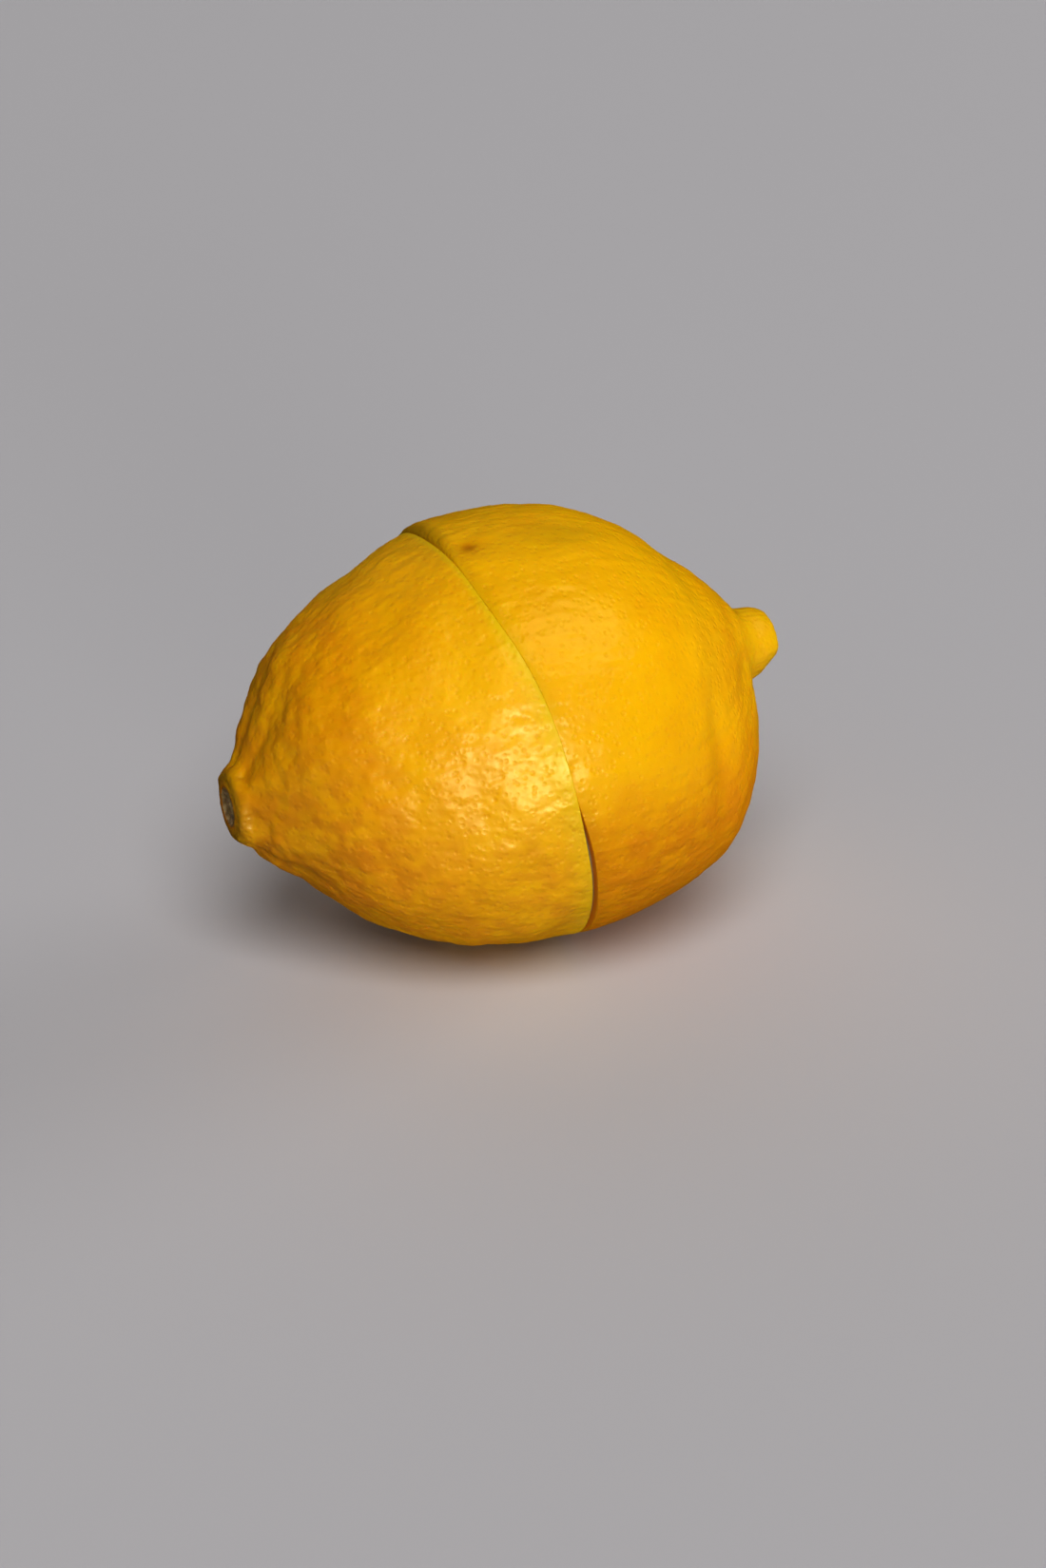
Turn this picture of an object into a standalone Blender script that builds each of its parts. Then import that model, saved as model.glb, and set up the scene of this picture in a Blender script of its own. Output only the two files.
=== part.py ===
# A lemon cut crosswise on a slant, its two halves set back together: the stem half and the tip half.
# The fruit lies on its side on a small flat rest spot at z = 0, with its long axis along +X.
# Sizes below are in millimetres and angles in degrees; the meshes are in metres.
from math import atan2, cos, degrees, exp, pi, radians, sin, sqrt

import bmesh
import bpy
from mathutils import Vector

MM = 0.001

# Resting pose
AXIS_HEIGHT = 30.2            # height of the long axis above the table, at the cut
AXIS_TILT = 2.9               # the tip end rides a little higher than the stem end
CENTRE = (3.0, -0.1)          # middle of the whole fruit in X and Y, measured from the cut

# Outlines as (distance along the axis from the cut, radius), each from past the cut to its end
STEM_OUTLINE = (
    (14.0, 31.4), (0.0, 30.0), (-10.0, 27.0), (-20.4, 21.9), (-27.8, 16.6),
    (-33.4, 10.2), (-36.0, 6.3), (-37.6, 5.0), (-38.0, 3.6), (-37.3, 0.0),
)
TIP_OUTLINE_TOP = (
    (-14.0, 28.8), (0.0, 30.0), (8.0, 29.9), (16.0, 28.2), (24.5, 23.6), (31.0, 17.2),
    (35.6, 10.3), (38.6, 6.0), (42.0, 4.6), (44.0, 3.0), (44.3, 0.0),
)
TIP_OUTLINE_UNDER = (
    (-14.0, 30.0), (0.0, 30.9), (8.0, 31.0), (16.0, 29.9), (25.5, 26.7), (32.6, 21.8),
    (36.9, 13.6), (37.9, 6.6), (41.4, 4.9), (44.0, 3.0), (44.3, 0.0),
)
STEM_BELLY = 2.1              # how much fuller the stem half is underneath than on top,
STEM_BELLY_SPAN = (9.0, -37.0)            # between these distances along the axis
NECK_DROP = 3.4               # the stem neck sits this far below the long axis
NIPPLE_RISE = 4.3             # the nipple sits this far above it

# The slanted cut
CUT_NORMAL = (0.9808, 0.0495, 0.1886)     # along the axis, across it, and up from it
CUT_AT = -0.3                 # where the cut crosses the axis
CUT_RADIUS = 31.0
GAP_TOP = 0.30                # clearance between the cut faces at the top
GAP_UNDER = 0.90              # and underneath, where the halves stand a little open
STEM_RIM = 0.35               # rounding of the stem half's rim
TIP_RIM = 0.4                 # rounding of the tip half's rim
TIP_RIM_TOP = 2.4             # and at the top, where the peel turns in

# Relief of the peel
RIB_DEPTH = 0.35              # broad ribs from end to end
WRINKLE_DEPTH = 0.16          # unevenness of the stem half's rougher peel
FURROW_DEPTH = 0.9            # furrows that gather at the stem neck
FURROWS = 7
DIMPLE_AT = (-4.4, 16.0)      # a shallow dent on the tip half: along the axis, and angle from the top
DIMPLE_DEPTH = 0.5
DIMPLE_SPREAD = 2.6

# Mesh
MERIDIANS = 60
STEM_STATIONS = 25
TIP_STATIONS = 30
RIM_STATIONS = 3
END_CROWDING = 0.11           # stations stand closer together toward an end

PEEL_YELLOW = (0.85, 0.45, 0.01, 1.0)
PEEL_ROUGHNESS = 0.45


def ease(value, low, high):
    """0 at low, 1 at high, and a smooth rise between."""
    t = min(1.0, max(0.0, (value - low) / (high - low)))
    return t * t * (3.0 - 2.0 * t)


def smooth_curve(knots, per_span=14):
    """Points of a smooth curve through the knots."""
    knots = [Vector(knot) for knot in knots]
    knots = [knots[0]] + knots + [knots[-1]]
    points = []
    for before, start, stop, after in zip(knots, knots[1:], knots[2:], knots[3:]):
        span = (stop - start).length
        leave = (stop - before) * (span / (span + (start - before).length))
        arrive = (after - start) * (span / (span + (after - stop).length))
        for step in range(per_span):
            t = step / per_span
            outward = start * (2 * t ** 3 - 3 * t ** 2 + 1) + leave * (t ** 3 - 2 * t ** 2 + t)
            onward = stop * (3 * t ** 2 - 2 * t ** 3) + arrive * (t ** 3 - t ** 2)
            points.append(outward + onward)
    points.append(knots[-1])
    return points


class Half:
    """One half of the fruit: a skin over an outline, which is read by the length along it from the cut."""

    def __init__(self, top, under):
        self.top = smooth_curve(top)
        self.under = smooth_curve(under)
        self.lengths = [0.0]
        for here, there in zip(self.top, self.top[1:]):
            self.lengths.append(self.lengths[-1] + (there - here).length)
        middle = min(range(len(self.top)), key=lambda i: abs(self.top[i].x))
        self.lengths = [length - self.lengths[middle] for length in self.lengths]
        self.end = self.lengths[-1]

    def outline(self, length, under):
        """(distance along the axis, radius) at a length; under is 0 on top and 1 underneath."""
        i = 0
        while i < len(self.lengths) - 2 and self.lengths[i + 1] < length:
            i += 1
        t = (length - self.lengths[i]) / (self.lengths[i + 1] - self.lengths[i])
        top = self.top[i].lerp(self.top[i + 1], t)
        return top.lerp(self.under[i].lerp(self.under[i + 1], t), under)

    def skin(self, length, angle):
        """A point of the peel; the angle is 0 on top and grows toward the front, -Y."""
        x, radius = self.outline(length, ease(-cos(angle), -0.25, 0.75))
        radius += (ribs(angle, x) + self.relief(angle, x)) * ease(radius, 0.0, 8.0)
        return Vector((x, -radius * sin(angle), radius * cos(angle) + self.rise(x)))

    def rim_length(self, angle):
        """The length along the outline at which a meridian leaves the cut."""
        outside = -12.0
        inside = 12.0
        while inside - outside > 1e-9:
            middle = 0.5 * (outside + inside)
            if self.inside_cut(self.skin(middle, angle)) < 0.0:
                outside = middle
            else:
                inside = middle
        return inside

    def point(self, ring, rings, angle, start):
        """A point of the finished half on one of its rings, on a meridian whose rim is at start."""
        rounding = self.rim_rounding(angle)
        if ring < RIM_STATIONS:
            past_rim = rounding * (ring / RIM_STATIONS) ** 2
            turned_in = 1.0 - past_rim / rounding
            inward = (self.cut_middle() - self.skin(start, angle)).normalized()
            tuck = rounding * (1.0 - sqrt(1.0 - turned_in ** 2))
            return self.skin(start + past_rim, angle) + inward * tuck
        share = (ring - RIM_STATIONS) / (rings - RIM_STATIONS)
        even = self.end * (share + END_CROWDING * sin(pi * share))
        settling = max(0.0, 1.0 - even / (0.6 * self.end)) ** 1.4
        return self.skin(even + (start + rounding) * settling, angle)


class StemHalf(Half):
    """The rougher half, drawn in to a short neck with a small button scar."""

    def outline(self, length, under):
        x, radius = super().outline(length, under)
        share = (x - STEM_BELLY_SPAN[0]) / (STEM_BELLY_SPAN[1] - STEM_BELLY_SPAN[0])
        belly = STEM_BELLY * sin(pi * min(max(share, 0.0), 1.0)) ** 2
        return x, radius + belly * under

    def relief(self, angle, x):
        wrinkles = cos(9 * angle + 0.35 * x) + cos(0.75 * x - 4 * angle + 1.7) * cos(6 * angle + 0.9)
        swirl = angle + 0.22 * sin(2 * angle + 0.5) + 0.02 * x
        valley = 0.5 + 0.5 * cos(FURROWS * swirl + 0.8)
        near_neck = ease(x, -22.0, -33.0) * ease(x, -38.0, -35.6)
        return WRINKLE_DEPTH * wrinkles * ease(x, -35.0, -27.0) - FURROW_DEPTH * near_neck * valley ** 2

    def rise(self, x):
        return -NECK_DROP * ease(x, -28.0, -37.0)

    def cut_middle(self):
        return Vector((CUT_AT, 0.0, 0.0))

    def inside_cut(self, point):
        return -(point - self.cut_middle()).dot(Vector(CUT_NORMAL))

    def rim_rounding(self, angle):
        return STEM_RIM


class TipHalf(Half):
    """The smoother half, with a blunt shoulder, and a groove under its stubby nipple."""

    def relief(self, angle, x):
        along = (x - DIMPLE_AT[0]) / DIMPLE_SPREAD
        across = (angle - radians(DIMPLE_AT[1])) * CUT_RADIUS / DIMPLE_SPREAD
        return -DIMPLE_DEPTH * exp(-along ** 2 - across ** 2)

    def rise(self, x):
        return NIPPLE_RISE * ease(x, 27.0, 38.0)

    def cut_middle(self):
        middle_gap = 0.5 * (GAP_TOP + GAP_UNDER)
        return Vector((CUT_AT + middle_gap / CUT_NORMAL[0], 0.0, 0.0))

    def inside_cut(self, point):
        opening = 0.5 * (GAP_UNDER - GAP_TOP) * point.z / CUT_RADIUS
        return (point - self.cut_middle()).dot(Vector(CUT_NORMAL)) + opening

    def rim_rounding(self, angle):
        return TIP_RIM + (TIP_RIM_TOP - TIP_RIM) * ease(cos(angle), 0.3, 1.0)


def ribs(angle, x):
    waves = 0.55 * cos(3 * angle + 1.1) + 0.30 * cos(5 * angle + 2.3) + 0.25 * cos(8 * angle + 0.4)
    return RIB_DEPTH * waves * ease(abs(x), 39.0, 27.0)


def at_rest(point):
    """From the fruit's own axes in millimetres to its place on the table in metres."""
    tilt = radians(AXIS_TILT)
    x = point.x * cos(tilt) - point.z * sin(tilt) - CENTRE[0]
    z = point.x * sin(tilt) + point.z * cos(tilt) + AXIS_HEIGHT
    return Vector((x, point.y - CENTRE[1], z)) * MM


def turned_tube(rings):
    """A tube along X with a ring of vertices at each whole number, drawn to a point at its far end."""
    bm = bmesh.new()
    line = [bm.verts.new((ring, 0.0, 1.0)) for ring in range(rings)]
    line.append(bm.verts.new((rings, 0.0, 0.0)))
    edges = [bm.edges.new(pair) for pair in zip(line, line[1:])]
    bmesh.ops.spin(
        bm, geom=line + edges, axis=(1, 0, 0), cent=(0, 0, 0), angle=2 * pi, steps=MERIDIANS, use_merge=True)
    bmesh.ops.remove_doubles(bm, verts=bm.verts[:], dist=1e-4)
    return bm


def build_half(name, half, stations):
    rings = RIM_STATIONS + stations
    bm = turned_tube(rings)
    rim = [edge for edge in bm.edges if edge.is_boundary]
    rim_lengths = {}
    for vert in bm.verts:
        angle = radians(round(degrees(atan2(-vert.co.y, vert.co.z)), 3))
        if angle not in rim_lengths:
            rim_lengths[angle] = half.rim_length(angle)
        vert.co = at_rest(half.point(round(vert.co.x), rings, angle, rim_lengths[angle]))
    bmesh.ops.edgeloop_fill(bm, edges=rim)
    trim_underside(bm)
    bmesh.ops.recalc_face_normals(bm, faces=bm.faces[:])
    mesh = bpy.data.meshes.new(name)
    bm.to_mesh(mesh)
    bm.free()
    mesh.shade_smooth()
    mesh.set_sharp_from_angle(angle=radians(40.0))
    mesh.materials.append(peel(name))
    piece = bpy.data.objects.new(name, mesh)
    bpy.context.scene.collection.objects.link(piece)


def trim_underside(bm):
    """Cuts the flat rest spot, level with the table."""
    everything = bm.verts[:] + bm.edges[:] + bm.faces[:]
    cut = bmesh.ops.bisect_plane(
        bm, geom=everything, dist=1e-7, plane_co=(0, 0, 0), plane_no=(0, 0, -1), clear_outer=True)
    border = [part for part in cut["geom_cut"] if isinstance(part, bmesh.types.BMEdge)]
    bmesh.ops.edgeloop_fill(bm, edges=border)


def peel(name):
    material = bpy.data.materials.new(name + "_peel")
    material.use_nodes = True
    shader = material.node_tree.nodes["Principled BSDF"]
    shader.inputs["Base Color"].default_value = PEEL_YELLOW
    shader.inputs["Roughness"].default_value = PEEL_ROUGHNESS
    return material


for leftover in list(bpy.data.objects):
    bpy.data.objects.remove(leftover, do_unlink=True)

build_half("stem_half", StemHalf(STEM_OUTLINE, STEM_OUTLINE), STEM_STATIONS)
build_half("tip_half", TipHalf(TIP_OUTLINE_TOP, TIP_OUTLINE_UNDER), TIP_STATIONS)
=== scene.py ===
# The looks of a lemon cut crosswise and set back together: two pored, wrinkled peels with their cut
# faces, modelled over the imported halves. Sizes are in millimetres where nothing else is said. Round the
# fruit, an angle is in radians and a turn in degrees, both from the top and growing toward the front, -Y.
from math import cos, exp, hypot, pi, radians, sin

import bmesh
import bpy
import numpy as np
from mathutils import Matrix, Vector, noise


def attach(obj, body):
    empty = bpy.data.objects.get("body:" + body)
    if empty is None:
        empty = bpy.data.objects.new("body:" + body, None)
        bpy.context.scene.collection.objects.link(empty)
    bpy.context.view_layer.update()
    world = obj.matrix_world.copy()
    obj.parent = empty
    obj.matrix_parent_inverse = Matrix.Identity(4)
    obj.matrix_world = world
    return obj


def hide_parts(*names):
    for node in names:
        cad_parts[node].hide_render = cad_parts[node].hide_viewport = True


MM = 0.001

# Resting pose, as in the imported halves
AXIS_HEIGHT = 30.2
AXIS_TILT = 2.9
CENTRE = (3.0, -0.1)

# Outlines as (distance along the axis from the cut, radius), each from past the cut to its end
STEM_OUTLINE = (
    (14.0, 31.4), (0.0, 30.0), (-10.0, 27.0), (-20.4, 21.9), (-27.8, 16.6),
    (-33.4, 10.2), (-36.0, 6.3), (-37.6, 5.0), (-38.0, 3.6), (-37.3, 0.0),
)
TIP_OUTLINE_TOP = (
    (-14.0, 28.8), (0.0, 30.0), (8.0, 29.9), (16.0, 28.2), (24.5, 23.4), (31.0, 16.5),
    (35.6, 9.7), (38.6, 5.7), (41.9, 5.0), (43.5, 4.1), (43.9, 0.0),
)
TIP_OUTLINE_UNDER = (
    (-14.0, 30.0), (0.0, 30.9), (8.0, 31.0), (16.0, 29.9), (25.5, 26.7), (32.6, 21.8),
    (36.9, 13.6), (37.9, 6.4), (41.2, 4.5), (43.2, 2.8), (43.9, 0.0),
)
OUTLINE_STEPS = 40            # points in each span of an outline
UNDERSIDE = (-0.25, 0.75)     # depths below the axis, in radii, over which the under outline takes over
STEM_BELLY = 2.1
STEM_BELLY_SPAN = (9.0, -37.0)
NECK_DROP = 3.4
NECK_DROP_SPAN = (-28.0, -37.0)
NIPPLE_RISE = 4.3
NIPPLE_RISE_SPAN = (27.0, 38.0)

# The slanted cut, the gap and the rims. A shape's TURN is its middle and spread round the fruit, and its
# TURNS are two spans: it grows over the first and dies away over the second.
CUT_NORMAL = (0.9808, 0.0495, 0.1886)
CUT_AT = -0.3
CUT_BULGE = 0.9               # the cut bows toward the tip on the upper front
CUT_BULGE_TURN = (60.0, 19.0)
TIP_FACE_INSET = 0.45         # the middle of the tip half's face lies this far past the cut
GAP_TOP = 0.005
GAP_UNDER = 0.9
GAP_OPENS = (6.5, -10.0)      # heights about the axis between which the gap opens
RIM_ROUNDING = 0.02
TIP_RIM_TOP = 2.4             # rounding of the tip half's rim on top
TIP_RIM_TURNS = ((20.0, -7.0), (-100.0, -50.0))
RIM_SINK = 0.4                # the tip half lies a little lower than the stem half along the front
RIM_SINK_TURNS = ((32.0, 62.0), (150.0, 110.0))
RIM_MEET = 0.75               # and its rim is drawn down to meet the stem half on the upper front
RIM_MEET_TURN = (26.0, 18.0)
RIM_SINK_REACH = 3.0

# Broad relief of the peel
RELIEF_RADIUS = 8.0           # broad relief dies away from this radius inward
RIB_DEPTH = 0.35
# Each wave as (share, count round the fruit, offset)
RIB_WAVES = ((0.55, 3, 1.1), (0.30, 5, 2.3), (0.25, 8, 0.4))
RIB_SPAN = (39.0, 27.0)
SWELL_DEPTH = 0.16
SWELL_SPAN = (-35.0, -27.0)
FURROW_DEPTH = 0.9            # of the furrows that gather at the neck
FURROWS = 7
FURROW_SPANS = ((-22.0, -33.0), (-38.0, -35.6))
SHOULDER_AT = 25.6            # a furrow crosses the tip half's shoulder here, with a lobe beyond it
SHOULDER_WAVE = 0.8
SHOULDER_FURROW = 0.9
SHOULDER_FURROW_WIDTH = 1.7
SHOULDER_TURN = (92.0, 26.0)
LOBE_SHARE = 0.6
LOBE_AT = (30.0, 2.6)
NIPPLE_FILL = 0.9             # a ridge runs up into the nipple on the front
NIPPLE_FILL_AT = (37.0, 2.0)
NIPPLE_FILL_TURNS = ((5.0, 40.0), (110.0, 80.0))

# Patches of relief or colour on the tip half, as height or strength, (place along the axis, spread) and
# (turn, spread)
DIMPLE = (-0.35, (-2.5, 1.9), (8.0, 3.8))
NIPPLE_CREASE = (-0.35, (37.6, 0.8), (4.0, 22.0))
# painted shade, a darker olive streak on top of the tip half
TOP_SHADE_STREAK = (0.3, (10.0, 7.0), (10.0, 5.5))
# The brown spot in the dimple and its halo, which are stains, and painted shade in the crease at the nipple
STAINS_AND_CREASE_SHADE = (
    (0.5, (-2.5, 1.0), (8.0, 2.1)),
    (0.24, (-2.5, 2.4), (8.0, 4.0)),
    (0.3, (37.8, 1.0), (4.0, 18.0)),
)
# painted shade in the shoulder's furrow
SHOULDER_FURROW_SHADE = 0.12
SHOULDER_FURROW_SHADE_WIDTH = 1.2
SHOULDER_FURROW_SHADE_TURN = (92.0, 20.0)

# Fine relief: lumps as (height, size), and wrinkles as (height, length, count round the fruit)
STEM_LUMPS = ((0.04, 4.6), (0.052, 1.9), (0.03, 0.9))
STEM_WRINKLES = ((0.035, 4.5, 16.0), (0.03, 3.2, 28.0))
STEM_PIT = 0.05
ROUGH_END = (-20.0, -32.0)    # toward the stem the lumps grow and the wrinkles fade
ROUGH_LUMPS = (0.065, 1.9)
WRINKLES_FADE = 0.5
TIP_LUMPS = ((0.04, 4.8), (0.042, 2.0), (0.02, 0.9))
TIP_WRINKLES = ((0.03, 5.0, 16.0), (0.035, 4.2, 30.0))
TIP_PIT = 0.03
PORE_SPACING = 0.95
PORE_RADIUS = 0.33
RIM_CALM = 0.8                # fine relief dies away this close to the rim

# The scar where the stalk came away
SCAR_RADIUS = 2.9
SCAR_END = -36.4              # the scar's own relief lies beyond this place
SCAR_REACH = 4.5
SCAR_LIP = 0.22
SCAR_LIP_WIDTH = 0.5
SCAR_PLUG = 0.45
SCAR_PLUG_EDGE = (1.7, 0.9)
SCAR_CRACK = 0.16
SCAR_CRACKS = 7
SCAR_CRACKS_AT = (2.1, 0.7)
SCAR_CRACKS_BEND = (2.0, 1.5)   # how far the cracks bend, in radians, over lumps of this size
SCAR_GRAIN = (0.05, 0.6)

# Pale and olive marks, and painted shade, along the rims and at the ends
PALE_STRIP = 1.2              # width of the pale strip along the stem half's rim, on top
PALE_STRIP_MORE = 3.8         # and how much wider it grows down the sides
PALE_STRIP_WIDENS = (15.0, 80.0)    # between these turns
PALE_STRIP_EDGE = 0.2
SCAR_STAIN_EDGE = (SCAR_RADIUS + 0.5, SCAR_RADIUS - 0.3)
SCAR_STAIN_SPAN = (-36.2, -36.9)
SCAR_OLIVE = 0.5
SCAR_OLIVE_AT = (SCAR_RADIUS + 1.4, 1.1)
SCAR_OLIVE_SPAN = (-35.0, -36.6)
# the neck turns olive and darker, partly its own colour and partly painted shade
NECK_OLIVE_AND_SHADE = 0.2
NECK_OLIVE_AND_SHADE_SPAN = (-23.0, -32.0)
TOP_RIM_SHADE = 0.65              # painted shade, olive, in the tip half's turned-in rim on top
TOP_RIM_SHADE_WIDTH = (2.6, 0.6)
TOP_RIM_SHADE_TURNS = ((14.0, -14.0), (-80.0, -40.0))
FRONT_RIM_SHADE = 0.22            # and a weaker painted shade down the front beside the seam, which fades a little
FRONT_RIM_SHADE_FADE = 0.10
FRONT_RIM_SHADE_GROWS = (-10.0, 14.0)
FRONT_RIM_SHADE_FADES = (20.0, 45.0)
FRONT_RIM_SHADE_WIDTH = (2.6, 0.2)
NIPPLE_PALE = 0.9
NIPPLE_PALE_SPAN = (31.0, 40.0)
NIPPLE_DOT = (1.2, 0.6)       # the dry dot's radius, at its soft edge and where it is full
NIPPLE_DOT_SPAN = (43.5, 44.0)

# Mesh
BALL_SUBDIVISIONS = 8
BALL_ON_PLANE = 1e-5          # a point this close to a cutting plane counts as on it, on the ball
TABLE_ON_PLANE = 1e-7         # and on the table, in metres
FACES_TRIED = 200             # faces that show which way the normals point
RIM_CROWDING = (0.65, 0.06)   # how much closer rings stand at the rim, and over which share of the half
RIM_TABLE = 720
RIM_SEARCH = 12.0             # the rim is looked for this far either side of the cut's middle
RIM_SEARCH_STEPS = 40

# The cut face, as shares of the way from the rim to its middle
FACE_RINGS = (0.006, 0.016, 0.03, 0.05, 0.08, 0.105, 0.12, 0.135, 0.16, 0.2, 0.25, 0.3, 0.36, 0.42,
              0.5, 0.58, 0.66, 0.74, 0.81, 0.87, 0.92)
PITH_SHARE = 0.12
PITH_EDGE = 0.03
CORE_SHARE = 0.87
CORE_EDGE = 0.05
SEGMENTS = 10
MEMBRANE = (0.02, 0.14)       # how far from a membrane's middle the pulp starts, and where it is full
MEMBRANE_CORE = 1.03          # the share of the way in up to which a membrane keeps its width
FLESH_DEPTH = 0.3
FLESH_UNEVEN = 0.3            # how much of that depth varies from place to place
FLESH_GRAIN = 0.9

# Camera, from the photo
CAMERA_TURN = 22.4            # degrees round from the front toward the stem end
CAMERA_RISE = 25.0
CAMERA_DISTANCE = 463.0
FOCAL_PIXELS = 3491.0
PICTURE = (1100, 1649)
CUT_PIXEL = (510.6, 765.9)    # where the middle of the cut lies in the photo
SENSOR = 36.0
NEAREST_SEEN = 10.0


def ease(value, low, high):
    """0 at low, 1 at high, and a smooth rise between."""
    t = np.clip((value - low) / (high - low), 0.0, 1.0)
    return t * t * (3.0 - 2.0 * t)


def band(value, grows, fades):
    """1 between two spans, each given from its outer to its inner end, and 0 outside them."""
    return ease(value, *grows) * ease(value, *fades)


def near(value, middle, spread):
    """1 at the middle, falling away smoothly over the spread."""
    return np.exp(-((value - middle) / spread) ** 2)


def patch(x, turn, height, along, around):
    """A soft patch of this height, with a middle and a spread along the axis and round it."""
    return height * near(x, *along) * near(turn, *around)


def smooth_curve(knots):
    """Points of a smooth curve through the knots."""
    knots = np.array([knots[0], *knots, knots[-1]], dtype=float)
    t = np.linspace(0.0, 1.0, OUTLINE_STEPS, endpoint=False)[:, None]
    points = []
    for before, start, stop, after in zip(knots, knots[1:], knots[2:], knots[3:]):
        span = np.linalg.norm(stop - start)
        leave = (stop - before) * (span / (span + np.linalg.norm(start - before)))
        arrive = (after - start) * (span / (span + np.linalg.norm(after - stop)))
        outward = start * (2 * t ** 3 - 3 * t ** 2 + 1) + leave * (t ** 3 - 2 * t ** 2 + t)
        onward = stop * (3 * t ** 2 - 2 * t ** 3) + arrive * (t ** 3 - t ** 2)
        points.append(outward + onward)
    points.append(knots[-1:])
    return np.concatenate(points)


def ribs(angle, x):
    """Height of the broad ribs along the fruit."""
    waves = sum(share * np.cos(count * angle + offset) for share, count, offset in RIB_WAVES)
    return RIB_DEPTH * waves * ease(np.abs(x), *RIB_SPAN)


def bumps(point, size):
    """Soft bumps of this size, between about -1 and 1."""
    return 2.0 * noise.noise(point / size)


def streaks(point, angle, length, per_turn):
    """Soft streaks along the fruit, between about -1 and 1."""
    return 2.0 * noise.noise(Vector((point.x / length, per_turn * cos(angle), per_turn * sin(angle))))


def lumpy(point, lumps):
    """Height of soft bumps of several sizes, at one point."""
    return sum(height * bumps(point, size) for height, size in lumps)


def wrinkled(point, angle, wrinkles):
    """Height of soft streaks of several lengths, at one point."""
    return sum(height * streaks(point, angle, length, count) for height, length, count in wrinkles)


def pore(point):
    """1 in the middle of the pit over each oil gland, and 0 between them."""
    nearest = noise.voronoi(point / PORE_SPACING)[0][0] * PORE_SPACING
    return exp(-(nearest / PORE_RADIUS) ** 2)


def cut_bulge(point):
    """How far the cut bows toward the tip at each point's turn."""
    turn = np.degrees(np.arctan2(-point[:, 1], point[:, 2]))
    return CUT_BULGE * near(turn, *CUT_BULGE_TURN)


class Half:
    """One half of the fruit: a skin over an outline, which is read by the length along it from the cut."""

    def __init__(self, top, under):
        self.top = smooth_curve(top)
        self.under = smooth_curve(under)
        steps = np.linalg.norm(np.diff(self.top, axis=0), axis=1)
        self.lengths = np.concatenate([[0.0], np.cumsum(steps)])
        self.lengths -= self.lengths[np.argmin(np.abs(self.top[:, 0]))]
        self.end = self.lengths[-1]
        self.angles = np.linspace(-pi, pi, RIM_TABLE + 1)
        self.rim = self.rim_lengths(self.angles)

    def outline(self, length, under):
        """(distance along the axis, radius) at a length; under is 0 on top and 1 underneath."""
        place = []
        for side in (0, 1):
            top = np.interp(length, self.lengths, self.top[:, side])
            place.append(top + (np.interp(length, self.lengths, self.under[:, side]) - top) * under)
        return place

    def skin(self, length, angle):
        """Points of the peel."""
        x, radius = self.outline(length, ease(-np.cos(angle), *UNDERSIDE))
        radius = radius + (ribs(angle, x) + self.relief(angle, x)) * ease(radius, 0.0, RELIEF_RADIUS)
        return np.stack([x, -radius * np.sin(angle), radius * np.cos(angle) + self.rise(x)], axis=-1)

    def rim_lengths(self, angle):
        """The length along the outline at which each meridian leaves the cut."""
        outside = np.full(len(angle), -RIM_SEARCH)
        inside = np.full(len(angle), RIM_SEARCH)
        for _ in range(RIM_SEARCH_STEPS):
            middle = 0.5 * (outside + inside)
            short = self.inside_cut(self.skin(middle, angle)) < 0.0
            outside = np.where(short, middle, outside)
            inside = np.where(short, inside, middle)
        return inside

    def points(self, from_pole, angle):
        """Points of the finished half, and how far past the rim each lies.

        from_pole is 0 at the half's end and 1 on its rim.
        """
        start = np.interp(angle, self.angles, self.rim)
        share = 1.0 - from_pole
        crowd, reach = RIM_CROWDING
        share = share - crowd * reach * (1.0 - np.exp(-share / reach))
        share /= 1.0 - crowd * reach * (1.0 - np.exp(-1.0 / reach))
        past_rim = (self.end - start) * share
        rounding = self.rim_rounding(angle)
        turned_in = np.clip(1.0 - past_rim / rounding, 0.0, 1.0)
        tuck = rounding * (1.0 - np.sqrt(1.0 - turned_in ** 2))
        tuck += self.rim_sink(angle) * np.exp(-past_rim / RIM_SINK_REACH)
        inward = self.cut_middle() - self.skin(start, angle)
        inward /= np.linalg.norm(inward, axis=1)[:, None]
        return self.skin(start + past_rim, angle) + inward * tuck[:, None], past_rim


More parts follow.
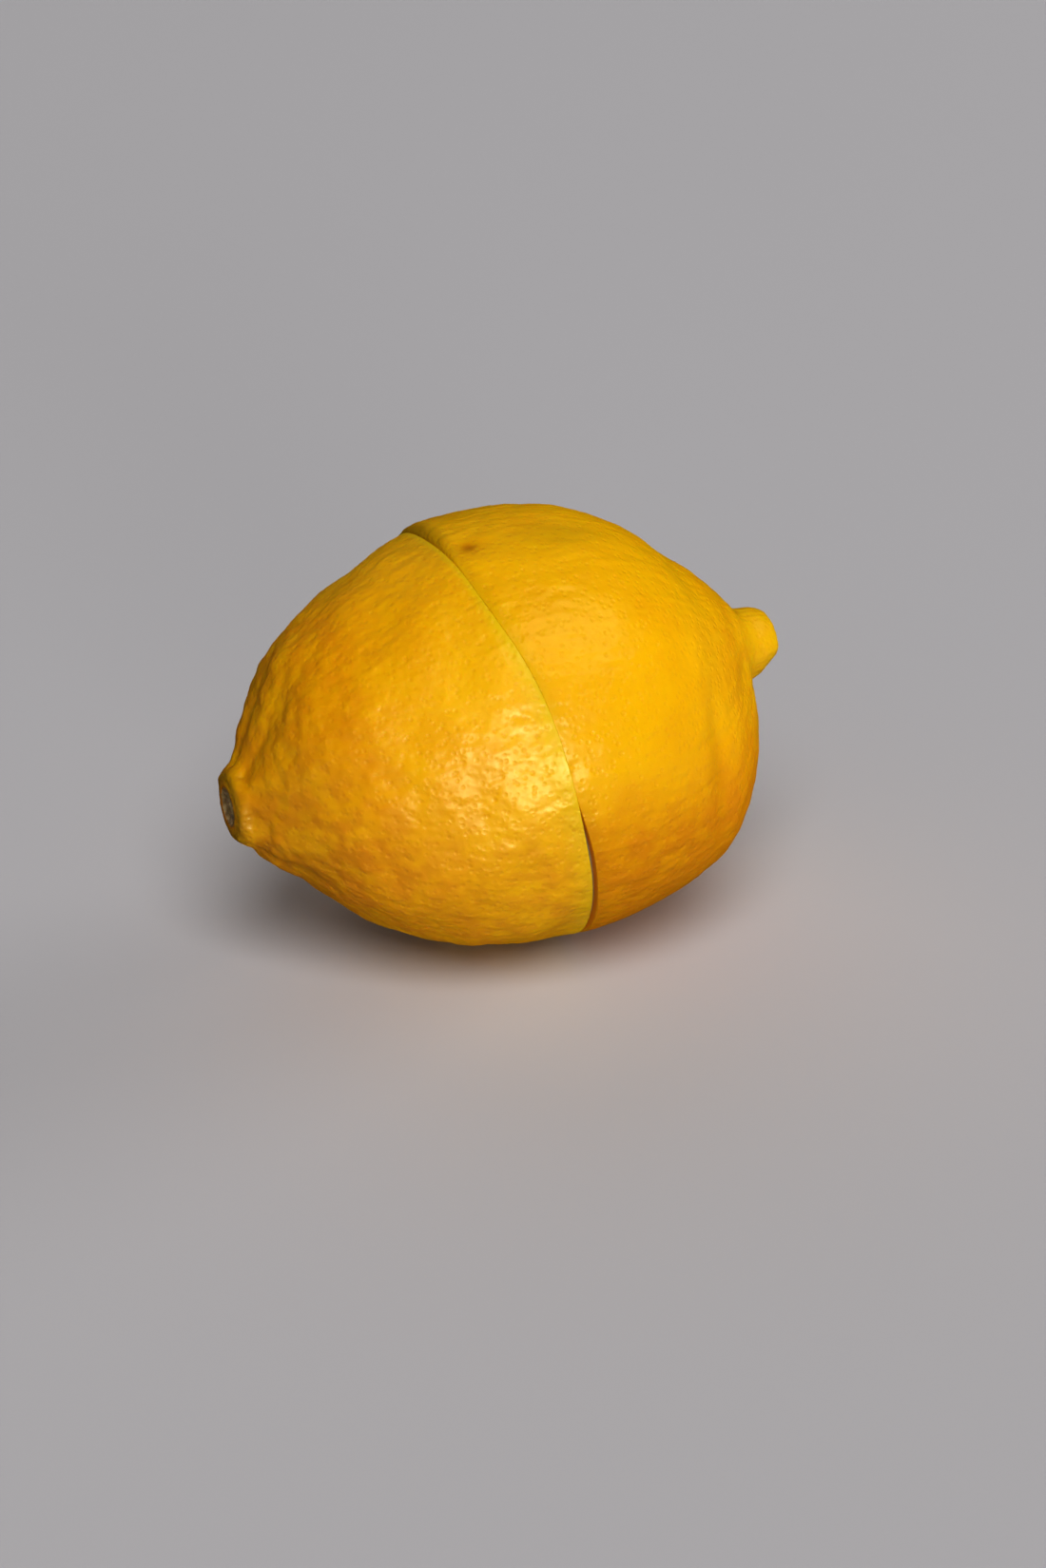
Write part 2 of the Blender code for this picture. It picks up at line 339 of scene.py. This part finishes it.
class StemHalf(Half):
    """The rougher half, drawn in to a short neck with a small button scar."""

    def outline(self, length, under):
        x, radius = super().outline(length, under)
        share = (x - STEM_BELLY_SPAN[0]) / (STEM_BELLY_SPAN[1] - STEM_BELLY_SPAN[0])
        belly = STEM_BELLY * np.sin(pi * np.clip(share, 0.0, 1.0)) ** 2
        return x, radius + belly * under

    def relief(self, angle, x):
        """Height of the swells, and of the furrows that gather at the neck."""
        crossing = np.cos(0.75 * x - 4 * angle + 1.7) * np.cos(6 * angle + 0.9)
        swells = np.cos(9 * angle + 0.35 * x) + crossing
        swirl = angle + 0.22 * np.sin(2 * angle + 0.5) + 0.02 * x
        valley = 0.5 + 0.5 * np.cos(FURROWS * swirl + 0.8)
        furrows = FURROW_DEPTH * band(x, *FURROW_SPANS) * valley ** 2
        return SWELL_DEPTH * swells * ease(x, *SWELL_SPAN) - furrows

    def rise(self, x):
        return -NECK_DROP * ease(x, *NECK_DROP_SPAN)

    def cut_middle(self):
        return np.array([CUT_AT, 0.0, 0.0])

    def inside_cut(self, point):
        return cut_bulge(point) - (point - self.cut_middle()) @ np.array(CUT_NORMAL)

    def rim_rounding(self, angle):
        return np.full(len(angle), RIM_ROUNDING)

    def rim_sink(self, angle):
        return np.zeros(len(angle))

    def from_neck(self, point):
        """The distance from the middle of the neck."""
        return hypot(point.y, point.z + NECK_DROP)

    def fine_relief(self, point, angle, pit):
        """Height of the lumps, the wrinkles that run toward the stem, and the pores, at one point."""
        if point.x < SCAR_END and self.from_neck(point) < SCAR_REACH:
            return self.scar_relief(point, angle)
        rough_end = float(ease(point.x, *ROUGH_END))
        lumps = lumpy(point, STEM_LUMPS) + rough_end * lumpy(point, (ROUGH_LUMPS,))
        wrinkles = (1.0 - WRINKLES_FADE * rough_end) * wrinkled(point, angle, STEM_WRINKLES)
        return lumps + wrinkles - STEM_PIT * pit

    def scar_relief(self, point, angle):
        """The woody button where the stalk came away: a lip, a plug and cracks."""
        out = self.from_neck(point)
        lip = SCAR_LIP * float(near(out, SCAR_RADIUS, SCAR_LIP_WIDTH))
        plug = SCAR_PLUG * float(ease(out, *SCAR_PLUG_EDGE))
        crack = 0.5 + 0.5 * cos(SCAR_CRACKS * angle + lumpy(point, (SCAR_CRACKS_BEND,)))
        cracks = SCAR_CRACK * crack * float(near(out, *SCAR_CRACKS_AT))
        return lip + plug - cracks + lumpy(point, (SCAR_GRAIN,))

    def marks(self, points, angle, past_rim):
        """Where the peel is pale, where it is olive, partly as painted shade at the neck, and where it is
        stained, each from 0 to 1.
        """
        x = points[:, 0]
        turn = np.degrees(np.abs(angle))
        width = PALE_STRIP + PALE_STRIP_MORE * ease(turn, *PALE_STRIP_WIDENS)
        out = np.hypot(points[:, 1], points[:, 2] + NECK_DROP)
        scar = ease(out, *SCAR_STAIN_EDGE) * ease(x, *SCAR_STAIN_SPAN)
        olive_and_painted_shade = SCAR_OLIVE * near(out, *SCAR_OLIVE_AT) * ease(x, *SCAR_OLIVE_SPAN)
        # olive at the neck, partly its own colour and partly painted shade
        olive_and_painted_shade += NECK_OLIVE_AND_SHADE * ease(x, *NECK_OLIVE_AND_SHADE_SPAN)
        return ease(past_rim, width, PALE_STRIP_EDGE), olive_and_painted_shade, scar


class TipHalf(Half):
    """The smoother half, with a blunt shoulder, and a groove under its stubby nipple."""

    def shoulder(self, angle):
        """How far along the axis the shoulder's furrow lies."""
        return SHOULDER_AT + SHOULDER_WAVE * np.sin(angle * 3.0)

    def relief(self, angle, x):
        """Height of the dimple, the shoulder's furrow and lobe, and the ridge and crease at the nipple."""
        turn = np.degrees(angle)
        valley = near(x, self.shoulder(angle), SHOULDER_FURROW_WIDTH)
        furrow = SHOULDER_FURROW * (LOBE_SHARE * near(x, *LOBE_AT) - valley) * near(turn, *SHOULDER_TURN)
        fill = NIPPLE_FILL * near(x, *NIPPLE_FILL_AT) * band(turn, *NIPPLE_FILL_TURNS)
        return patch(x, turn, *DIMPLE) + furrow + fill + patch(x, turn, *NIPPLE_CREASE)

    def rise(self, x):
        return NIPPLE_RISE * ease(x, *NIPPLE_RISE_SPAN)

    def cut_middle(self):
        return np.array([CUT_AT + TIP_FACE_INSET, 0.0, 0.0])

    def inside_cut(self, point):
        gap = GAP_TOP + (GAP_UNDER - GAP_TOP) * ease(point[:, 2], *GAP_OPENS)
        return (point - np.array([CUT_AT, 0.0, 0.0])) @ np.array(CUT_NORMAL) - cut_bulge(point) - gap

    def rim_rounding(self, angle):
        return RIM_ROUNDING + (TIP_RIM_TOP - RIM_ROUNDING) * band(np.degrees(angle), *TIP_RIM_TURNS)

    def rim_sink(self, angle):
        turn = np.degrees(angle)
        return RIM_SINK * band(turn, *RIM_SINK_TURNS) + RIM_MEET * near(turn, *RIM_MEET_TURN)

    def fine_relief(self, point, angle, pit):
        """Height of the shallow lumps, the fine streaks along the fruit, and the pores, at one point."""
        return lumpy(point, TIP_LUMPS) + wrinkled(point, angle, TIP_WRINKLES) - TIP_PIT * pit

    def marks(self, points, angle, past_rim):
        """Where the peel is pale, where painted olive shade lies along the rim and on top, and where it is
        stained or carries painted shade in the nipple's crease and the shoulder's furrow, each from 0 to 1.
        """
        x = points[:, 0]
        turn = np.degrees(angle)
        # painted shade along the tip half's rim, on top and down the front beside the seam
        olive_and_painted_shade = TOP_RIM_SHADE * ease(past_rim, *TOP_RIM_SHADE_WIDTH) * band(turn, *TOP_RIM_SHADE_TURNS)
        down_front = FRONT_RIM_SHADE - FRONT_RIM_SHADE_FADE * ease(turn, *FRONT_RIM_SHADE_FADES)
        olive_and_painted_shade += ease(past_rim, *FRONT_RIM_SHADE_WIDTH) * ease(turn, *FRONT_RIM_SHADE_GROWS) * down_front
        # painted shade on top of the tip half
        olive_and_painted_shade += patch(x, turn, *TOP_SHADE_STREAK)
        stain_and_shade = sum(patch(x, turn, *mark) for mark in STAINS_AND_CREASE_SHADE)
        across_shoulder = (self.shoulder(angle), SHOULDER_FURROW_SHADE_WIDTH)
        # painted shade in the shoulder's furrow
        stain_and_shade += patch(x, turn, SHOULDER_FURROW_SHADE, across_shoulder, SHOULDER_FURROW_SHADE_TURN)
        out = np.hypot(points[:, 1], points[:, 2] - NIPPLE_RISE)
        stain_and_shade += ease(out, *NIPPLE_DOT) * ease(x, *NIPPLE_DOT_SPAN)
        return NIPPLE_PALE * ease(x, *NIPPLE_PALE_SPAN), olive_and_painted_shade, np.clip(stain_and_shade, 0.0, 1.0)


def at_rest():
    """The move from the fruit's own axes in millimetres to its place on the table in metres."""
    settle = Matrix.Translation(Vector((-CENTRE[0], -CENTRE[1], AXIS_HEIGHT)) * MM)
    return settle @ Matrix.Rotation(-radians(AXIS_TILT), 4, "Y") @ Matrix.Scale(MM, 4)


def trim_below(bm, tolerance):
    """Cuts away what lies below the plane of X and Y, and gives the edges of the cut."""
    everything = bm.verts[:] + bm.edges[:] + bm.faces[:]
    cut = bmesh.ops.bisect_plane(
        bm, geom=everything, dist=tolerance, plane_co=(0, 0, 0), plane_no=(0, 0, -1), clear_outer=True)
    return [part for part in cut["geom_cut"] if isinstance(part, bmesh.types.BMEdge)]


def half_ball():
    """A ball's half with even triangles, its pole on +X and its rim in the plane of Y and Z."""
    bm = bmesh.new()
    bmesh.ops.create_icosphere(bm, subdivisions=BALL_SUBDIVISIONS, radius=1.0)
    trim_below(bm, BALL_ON_PLANE)
    bmesh.ops.rotate(bm, verts=bm.verts[:], cent=(0, 0, 0), matrix=Matrix.Rotation(pi / 2, 3, "Y"))
    return bm


def model_half(name, half, finishes):
    """Shapes a half ball into a half of the lemon with its cut face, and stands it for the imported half."""
    bm = half_ball()
    mark_layers = [bm.verts.layers.float.new(mark) for mark in ("pale", "olive_and_painted_shade", "stain_and_shade")]
    pore_layer = bm.verts.layers.float.new("pore")
    face_layer = bm.verts.layers.float.new("cut_face")
    places = np.array([vert.co for vert in bm.verts])
    from_pole = np.arccos(np.clip(places[:, 0], -1.0, 1.0)) / (pi / 2)
    angles = np.arctan2(-places[:, 1], places[:, 2])
    points, past_rim = half.points(np.minimum(from_pole, 1.0), angles)
    for vert, place in zip(bm.verts, points):
        vert.co = place
    bm.normal_update()
    facing = sum(face.normal.dot(face.calc_center_median()) for face in bm.faces[:FACES_TRIED])
    outward = 1.0 if facing > 0.0 else -1.0
    calm = ease(past_rim, 0.0, RIM_CALM)
    marks = np.stack(half.marks(points, angles, past_rim), axis=-1)
    for vert, angle, share, values in zip(bm.verts, angles, calm, marks):
        pit = pore(vert.co)
        height = half.fine_relief(vert.co.copy(), angle, pit)
        vert.co += vert.normal * (outward * height * share)
        vert[pore_layer] = pit * share
        for layer, value in zip(mark_layers, values):
            vert[layer] = value
    close_cut(bm, half, face_layer, mark_layers[0])
    bmesh.ops.transform(bm, matrix=at_rest(), verts=bm.verts[:])
    bmesh.ops.edgeloop_fill(bm, edges=trim_below(bm, TABLE_ON_PLANE))
    bmesh.ops.recalc_face_normals(bm, faces=bm.faces[:])
    mesh = bpy.data.meshes.new(name)
    for finish in finishes:
        mesh.materials.append(finish)
    bm.to_mesh(mesh)
    bm.free()
    mesh.shade_smooth()
    piece = bpy.data.objects.new(name, mesh)
    bpy.context.scene.collection.objects.link(piece)
    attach(piece, "root")
    return piece


def close_cut(bm, half, face_layer, pale_layer):
    """Fills the rim with the cut face: rings drawn in to its middle, and flesh sunk between membranes."""
    middle = Vector(half.cut_middle())
    rim = [edge for edge in bm.edges if edge.is_boundary]
    into = Vector(CUT_NORMAL) * (1.0 if half.end * half.top[-1, 0] > 0 else -1.0)
    reached = 0.0
    for share in FACE_RINGS:
        made = bmesh.ops.extrude_edge_only(bm, edges=rim)["geom"]
        ring = [part for part in made if isinstance(part, bmesh.types.BMVert)]
        rim = [part for part in made if isinstance(part, bmesh.types.BMEdge)]
        keep = (1.0 - share) / (1.0 - reached)
        bmesh.ops.scale(bm, verts=ring, vec=(keep,) * 3, space=Matrix.Translation(-middle))
        reached = share
        for vert in ring:
            vert[face_layer] = share
    bmesh.ops.edgeloop_fill(bm, edges=rim)
    for vert in bm.verts:
        share = vert[face_layer]
        if share > 0.0:
            pulp = pulp_share(share, np.arctan2(vert.co.y, vert.co.z))
            vert[pale_layer] = 1.0 - pulp
            uneven = (1.0 - FLESH_UNEVEN) + FLESH_UNEVEN * noise.noise(vert.co / FLESH_GRAIN)
            vert.co += into * (FLESH_DEPTH * pulp * uneven)
    for face in bm.faces:
        if all(vert[face_layer] > 0.0 for vert in face.verts):
            face.material_index = 1


def pulp_share(share, angle):
    """1 in the pulp of a segment, and 0 on the membranes, the pith and the core."""
    wall = abs(cos(0.5 * SEGMENTS * angle + 0.4 * sin(2 * angle + 0.6)))
    between_walls = ease(wall, MEMBRANE[0], MEMBRANE[1] / (MEMBRANE_CORE - share))
    from_pith = ease(share, PITH_SHARE, PITH_SHARE + PITH_EDGE)
    to_core = ease(share, CORE_SHARE, CORE_SHARE - CORE_EDGE)
    return float(between_walls) * float(from_pith * to_core)


class Value:
    """A socket of a material. Arithmetic on it adds Math nodes."""

    def __init__(self, finish, socket):
        self.finish = finish
        self.socket = socket

    def math(self, operation, first, second):
        return self.finish.add("ShaderNodeMath", {"operation": operation}, {0: first, 1: second})

    def __add__(self, other):
        return self.math("ADD", self, other)

    def __radd__(self, other):
        return self.math("ADD", other, self)

    def __sub__(self, other):
        return self.math("SUBTRACT", self, other)

    def __rsub__(self, other):
        return self.math("SUBTRACT", other, self)

    def __mul__(self, other):
        return self.math("MULTIPLY", self, other)

    def __rmul__(self, other):
        return self.math("MULTIPLY", other, self)

    def __truediv__(self, other):
        return self.math("DIVIDE", self, other)

    def __pow__(self, other):
        return self.math("POWER", self, other)

    def ease(self, low, high):
        """0 at low, 1 at high, and a smooth rise between."""
        sockets = {0: self, 1: low, 2: high, 3: 0.0, 4: 1.0}
        return self.finish.add("ShaderNodeMapRange", {"interpolation_type": "SMOOTHSTEP"}, sockets)


class Finish:
    """A material: its shader, and the nodes that feed it."""

    def __init__(self, name):
        self.material = bpy.data.materials.new(name)
        self.material.use_nodes = True
        self.nodes = self.material.node_tree.nodes
        self.links = self.material.node_tree.links
        self.shader = self.nodes["Principled BSDF"]
        self.place = self.add("ShaderNodeTexCoord", output="Object")

    def add(self, kind, settings=None, sockets=None, output=0):
        """Any node: its settings first, then the values or links of its sockets. Gives one output."""
        node = self.nodes.new(kind)
        for name, setting in (settings or {}).items():
            setattr(node, name, setting)
        for name, value in (sockets or {}).items():
            self.feed(node.inputs[name], value)
        return Value(self, node.outputs[output])

    def feed(self, socket, value):
        if isinstance(value, Value):
            self.links.new(value.socket, socket)
        else:
            socket.default_value = value

    def set(self, **sockets):
        for name, value in sockets.items():
            self.feed(self.shader.inputs[name.replace("_", " ")], value)

    def coordinate(self, axis):
        return self.add("ShaderNodeSeparateXYZ", {}, {"Vector": self.place}, axis)

    def mottle(self, size, detail=2.0):
        """Soft noise about 0.5, with features of this size in millimetres."""
        sockets = {"Vector": self.place, "Scale": 1.0 / (size * MM), "Detail": detail}
        return self.add("ShaderNodeTexNoise", {}, sockets, "Fac")

    def cells(self, size):
        """The distance to the nearest of scattered points, as a share of their spacing."""
        return self.scattered(self.place, 1.0 / (size * MM))

    def juice_sacs(self, width, length):
        """The same for points drawn out from the cut's middle: their width is in radians."""
        across = self.coordinate("Y") + CENTRE[1] * MM
        above = self.coordinate("Z") - AXIS_HEIGHT * MM
        out = (across * across + above * above) ** 0.5
        angle = self.add("ShaderNodeMath", {"operation": "ARCTAN2"}, {0: across, 1: above})
        places = {"X": angle / width, "Y": out / (length * MM), "Z": self.mottle(6.0)}
        return self.scattered(self.add("ShaderNodeCombineXYZ", {}, places), 1.0)

    def scattered(self, place, scale):
        return self.add("ShaderNodeTexVoronoi", {}, {"Vector": place, "Scale": scale}, "Distance")

    def mix(self, first, second, share):
        """From the first colour to the second."""
        return self.add("ShaderNodeMix", {"data_type": "RGBA"}, {0: share, 6: first, 7: second}, 2)

    def attribute(self, name):
        return self.add("ShaderNodeAttribute", {"attribute_name": name}, {}, "Fac")

    def bump(self, height):
        """Fine relief of this height in millimetres."""
        return self.add("ShaderNodeBump", {}, {"Strength": 1.0, "Distance": MM, "Height": height})


YELLOW = (0.91, 0.48, 0.002, 1.0)
LEMON = (0.84, 0.54, 0.006, 1.0)
AMBER = (0.80, 0.34, 0.001, 1.0)
# deep amber for the ends, partly their own colour, and painted shade on the lower peel
DEEP_AMBER_AND_SHADE = (0.72, 0.27, 0.001, 1.0)
PORE_AMBER = (0.70, 0.29, 0.001, 1.0)
OLIVE_AND_SHADE = (0.27, 0.17, 0.003, 1.0)
BROWN_AND_SHADE = (0.38, 0.095, 0.002, 1.0)
WOODY = (0.20, 0.125, 0.055, 1.0)
PALE_WOOD = (0.36, 0.25, 0.12, 1.0)
PITH = (0.86, 0.82, 0.64, 1.0)
PULP = (0.82, 0.66, 0.21, 1.0)
DEEP_PULP = (0.74, 0.54, 0.12, 1.0)
WARM_SHEEN = (1.0, 0.96, 0.50, 1.0)
FLOOR_GREY = (0.56, 0.545, 0.56, 1.0)
BACKDROP = (0.38, 0.37, 0.39, 1.0)

# The peel's colouring and grain
BROAD_PATCHES = 14.0          # sizes of the warm patches, and the span of the noise that shows them
BROAD_SPAN = (0.38, 0.66)
SMALL_PATCHES = 3.2
SMALL_SPAN = (0.35, 0.70)
LOW_SHADE_SPAN = (36.0, 21.0)       # heights over the table between which painted shade turns the peel darker and warmer
GLAND_SPAN = (0.10, 0.48)     # from a gland's middle to its edge, as shares of their spacing
PIT_SPAN = (0.15, 0.95)
GRAIN_SIZE = 0.30
GRAIN_HEIGHT = 0.012
GLAND_DEPTH = 0.045
PEEL_SCATTER = (2.2, 0.9, 0.15)
WOOD_GRAIN = 0.8

# The flesh, with its skin line and pith as shares of the way in
SKIN_LINE = (0.028, 0.055)
PULP_STARTS = (PITH_SHARE - 0.004, PITH_SHARE + 0.014)
FLESH_SCATTER = (3.0, 2.0, 0.7)
SAC_WIDTH = 0.10              # in radians round the middle of the cut
SAC_LENGTH = 4.5
SAC_DEPTH = 0.25
FLESH_BUMP = 0.03


def peel(name, amber_share, pore_share, low_shade_share, roughness, sheen, warm_shade_from, warm_shade_to):
    """Waxy peel; it turns warmer between two places along the fruit, partly its own colour and partly
    painted shade, and lower down painted shade makes it darker and warmer.
    """
    finish = Finish(name)
    warm_and_shade = finish.coordinate("X").ease(warm_shade_from * MM, warm_shade_to * MM)
    low = finish.coordinate("Z").ease(LOW_SHADE_SPAN[0] * MM, LOW_SHADE_SPAN[1] * MM)
    broad = finish.mottle(BROAD_PATCHES).ease(*BROAD_SPAN)
    patchy = finish.mottle(SMALL_PATCHES, 3.0).ease(*SMALL_SPAN)
    # the ends turn warmer, partly the peel's own colour and partly painted shade; lower down, painted shade
    # darkens and warms the peel
    amber = broad * amber_share + patchy * 0.12 + warm_and_shade * (0.25 + 0.45 * patchy)
    colour = finish.mix(YELLOW, AMBER, amber)
    deep_tone_and_shade = low * (low_shade_share + 0.5 * patchy) + warm_and_shade * (0.3 + 0.45 * patchy)
    colour = finish.mix(colour, DEEP_AMBER_AND_SHADE, deep_tone_and_shade)
    colour = finish.mix(colour, LEMON, finish.attribute("pale") * 0.65)
    glands = 1.0 - finish.cells(PORE_SPACING).ease(*GLAND_SPAN)
    pits = finish.attribute("pore").ease(*PIT_SPAN)
    colour = finish.mix(colour, PORE_AMBER, (glands + pits) * pore_share)
    # olive round the scar and at the neck, and painted shade along the tip half's rim and on top
    colour = finish.mix(colour, OLIVE_AND_SHADE, finish.attribute("olive_and_painted_shade"))
    stain_and_shade = finish.attribute("stain_and_shade")
    wood = finish.mix(WOODY, PALE_WOOD, finish.mottle(WOOD_GRAIN, 4.0).ease(0.35, 0.65))
    # brown stains, the woody scar, and painted shade in the nipple's crease and the shoulder's furrow
    colour = finish.mix(colour, finish.mix(BROWN_AND_SHADE, wood, stain_and_shade.ease(0.75, 0.95)), stain_and_shade)
    grain = finish.mottle(GRAIN_SIZE, 3.0)
    finish.set(
        Base_Color=colour,
        Roughness=roughness + 0.10 * patchy + 0.12 * glands,
        Normal=finish.bump(GRAIN_HEIGHT * grain - GLAND_DEPTH * glands),
        Specular_IOR_Level=sheen,
        Specular_Tint=WARM_SHEEN,
        Subsurface_Weight=0.25,
        Subsurface_Scale=MM,
        Subsurface_Radius=PEEL_SCATTER,
    )
    return finish.material


def cut_flesh(name):
    """The cut face from its rim inward: yellow skin, white pith, and juicy pulp between pale membranes."""
    finish = Finish(name)
    share = finish.attribute("cut_face")
    wall = finish.attribute("pale")
    sacs = finish.juice_sacs(SAC_WIDTH, SAC_LENGTH)
    pulp = finish.mix(PULP, DEEP_PULP, sacs.ease(0.2, 0.75) * 0.8 + finish.mottle(5.0) * 0.3)
    flesh = finish.mix(pulp, PITH, wall * 0.9)
    inside = share.ease(*PULP_STARTS)
    rind = finish.mix(AMBER, PITH, share.ease(*SKIN_LINE))
    finish.set(
        Base_Color=finish.mix(rind, flesh, inside),
        Roughness=0.55 - 0.30 * inside * (1.0 - wall),
        Normal=finish.bump(FLESH_BUMP * finish.mottle(0.5) - SAC_DEPTH * sacs * inside),
        Subsurface_Weight=0.35,
        Subsurface_Scale=MM,
        Subsurface_Radius=FLESH_SCATTER,
    )
    return finish.material


# Lamps: name, turn from the camera to the right, rise, distance in m, size in m, power in W, use
LAMPS = (
    ("front_glint", 13.0, 4.5, 0.9, (0.50, 0.22), 4.6, "glint"),
    ("top_glint", 58.0, 60.0, 1.1, (0.9, 0.9), 3.5, "glint"),
    ("front_low", 16.0, 5.0, 4.0, (1.60, 0.76), 45.0, "fill"),
    ("front_left", -24.0, 34.0, 1.1, (1.0, 0.7), 0.5, "fill"),
    ("top_right", 58.0, 60.0, 1.1, (0.9, 0.9), 0.9, "fill"),
    ("right_back", 120.0, 10.0, 3.0, (1.67, 0.83), 36.0, "fill"),
)
# Skies: name, turn, rise, how widely their light spreads, strength in W per square metre
SKIES = (
    ("front_sky", 8.0, 52.0, 40.0, 1.85),
    ("back_sky", 195.0, 28.0, 60.0, 0.3),
)
FLOOR_HALF_SIZE = 1.4         # in metres
FLOOR_ROUGHNESS = 0.8


def build_floor():
    """A plain pale floor, which the peel's gloss doesn't mirror."""
    finish = Finish("pale_floor")
    finish.set(Base_Color=FLOOR_GREY, Roughness=FLOOR_ROUGHNESS)
    bm = bmesh.new()
    bmesh.ops.create_grid(bm, x_segments=1, y_segments=1, size=FLOOR_HALF_SIZE)
    mesh = bpy.data.meshes.new("floor")
    bm.to_mesh(mesh)
    bm.free()
    mesh.materials.append(finish.material)
    floor = bpy.data.objects.new("floor", mesh)
    floor.visible_glossy = False
    bpy.context.scene.collection.objects.link(floor)


def direction(heading, rise):
    """A level heading, in degrees from the front toward the stem end, raised by some degrees."""
    heading = radians(heading)
    rise = radians(rise)
    return Vector((-sin(heading) * cos(rise), -cos(heading) * cos(rise), sin(rise)))


def build_camera():
    """The photo's view: the middle of the cut falls on its pixel."""
    back = direction(CAMERA_TURN, CAMERA_RISE)
    right = direction(CAMERA_TURN - 90.0, 0.0)
    up = back.cross(right)
    across = (CUT_PIXEL[0] - PICTURE[0] / 2) / FOCAL_PIXELS
    above = (PICTURE[1] / 2 - CUT_PIXEL[1]) / FOCAL_PIXELS
    cut = Vector((-CENTRE[0], -CENTRE[1], AXIS_HEIGHT))
    spot = cut + (back - right * across - up * above) * CAMERA_DISTANCE
    data = bpy.data.cameras.new("camera")
    data.sensor_width = SENSOR
    data.lens = FOCAL_PIXELS / max(PICTURE) * SENSOR
    data.clip_start = NEAREST_SEEN * MM
    camera = bpy.data.objects.new("camera", data)
    camera.matrix_world = Matrix.Translation(spot * MM) @ Matrix((right, up, back)).transposed().to_4x4()
    bpy.context.scene.collection.objects.link(camera)
    bpy.context.scene.camera = camera


def toward_lamp(turn, rise):
    """The direction to a lamp, and how the lamp is turned to face the fruit."""
    back = direction(CAMERA_TURN - turn, rise)
    return back, back.to_track_quat("Z", "Y").to_matrix().to_4x4()


def hang(name, data, place, use):
    """Puts a lamp in the studio: a fill lights the peel softly, and a glint shows only in its gloss."""
    lamp = bpy.data.objects.new(name, data)
    lamp.matrix_world = place
    lamp.visible_diffuse = use == "fill"
    lamp.visible_glossy = use == "glint"
    bpy.context.scene.collection.objects.link(lamp)


def soft_light(name, turn, rise, distance, size, power, use):
    """A broad lamp aimed at the fruit."""
    data = bpy.data.lights.new(name, "AREA")
    data.shape = "ELLIPSE"
    data.size, data.size_y = size
    data.energy = power
    back, aim = toward_lamp(turn, rise)
    place = Matrix.Translation(back * distance + Vector((0, 0, AXIS_HEIGHT * MM)))
    hang(name, data, place @ aim, use)


def skylight(name, turn, rise, spread, strength):
    """Even light from a wide patch of sky."""
    data = bpy.data.lights.new(name, "SUN")
    data.angle = radians(spread)
    data.energy = strength
    hang(name, data, toward_lamp(turn, rise)[1], "fill")


def light_studio():
    """Lamps, skies, and a backdrop that only the camera sees."""
    for lamp in LAMPS:
        soft_light(*lamp)
    for sky in SKIES:
        skylight(*sky)
    world = bpy.data.worlds.new("studio")
    world.use_nodes = True
    world.node_tree.nodes["Background"].inputs["Color"].default_value = BACKDROP
    bpy.context.scene.world = world
    world.cycles_visibility.diffuse = False
    world.cycles_visibility.glossy = False
    bpy.context.scene.view_settings.view_transform = "Standard"
    bpy.context.scene.view_settings.look = "Medium High Contrast"


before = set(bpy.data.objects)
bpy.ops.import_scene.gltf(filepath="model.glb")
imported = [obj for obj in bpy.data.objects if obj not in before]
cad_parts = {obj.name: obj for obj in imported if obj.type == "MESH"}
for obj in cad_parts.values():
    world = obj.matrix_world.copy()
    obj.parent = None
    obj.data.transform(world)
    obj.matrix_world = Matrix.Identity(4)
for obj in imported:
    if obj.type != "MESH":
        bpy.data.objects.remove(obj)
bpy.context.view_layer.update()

flesh = cut_flesh("lemon_flesh")
# low_shade_share sets how strongly painted shade darkens each peel lower down
rough_peel = peel(
    "rough_peel", amber_share=0.5, pore_share=0.16, low_shade_share=0.10,
    roughness=0.35, sheen=0.66, warm_shade_from=-19.0, warm_shade_to=-31.0)
stem_piece = model_half("stem_half_peel", StemHalf(STEM_OUTLINE, STEM_OUTLINE), [rough_peel, flesh])
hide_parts("stem_half")
smooth_peel = peel(
    "smooth_peel", amber_share=0.35, pore_share=0.09, low_shade_share=0.75,
    roughness=0.30, sheen=0.40, warm_shade_from=24.0, warm_shade_to=34.0)
tip_piece = model_half("tip_half_peel", TipHalf(TIP_OUTLINE_TOP, TIP_OUTLINE_UNDER), [smooth_peel, flesh])
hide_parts("tip_half")

build_floor()
light_studio()
build_camera()
